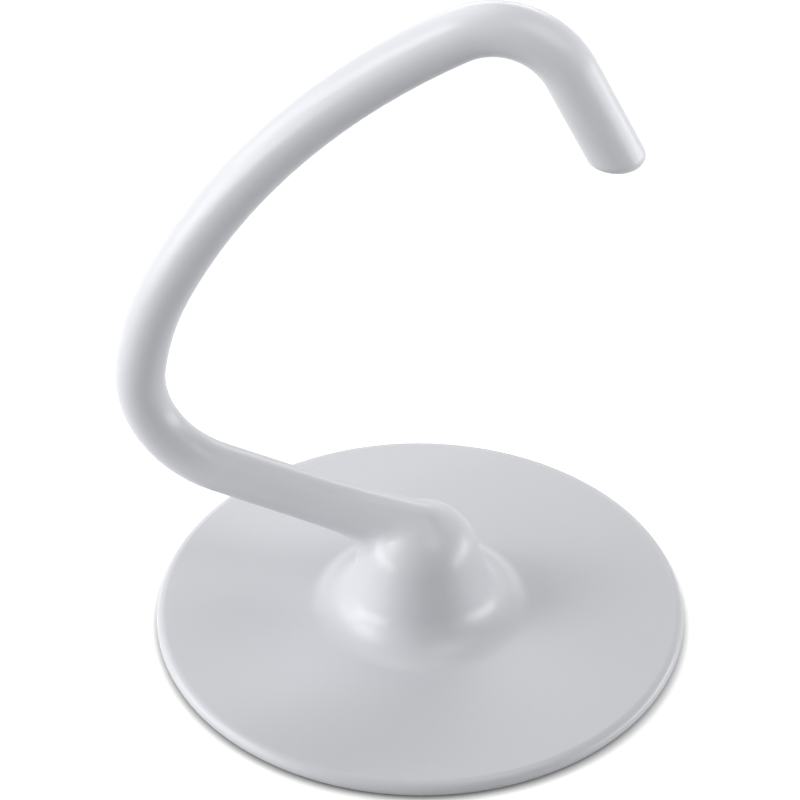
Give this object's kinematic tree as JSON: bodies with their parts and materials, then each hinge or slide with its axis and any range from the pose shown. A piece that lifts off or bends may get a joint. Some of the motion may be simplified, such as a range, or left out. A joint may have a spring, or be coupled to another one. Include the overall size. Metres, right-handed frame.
{
  "type": "stand mixer dough hook",
  "caption": "White coated C-shaped dough hook: a round bent arm rising from a domed hub on a flat round dough guard, with a bayonet drive socket in the guard's outer face.",
  "frame": {"origin": "centre of the drive socket's mouth, in the plane of the dough guard's flat outer face", "axes": "+Z along the drive axis from the guard towards the hook, -X the way the arm leaves the hub; the hook lies in the XZ plane"},
  "size_m": [0.1217, 0.114, 0.1491],
  "materials": {
    "white_coating": "smooth glossy white nylon coating on cast aluminium"
  },
  "bodies": {
    "root": {"dough_hook": "white_coating"}
  },
  "joints": []
}
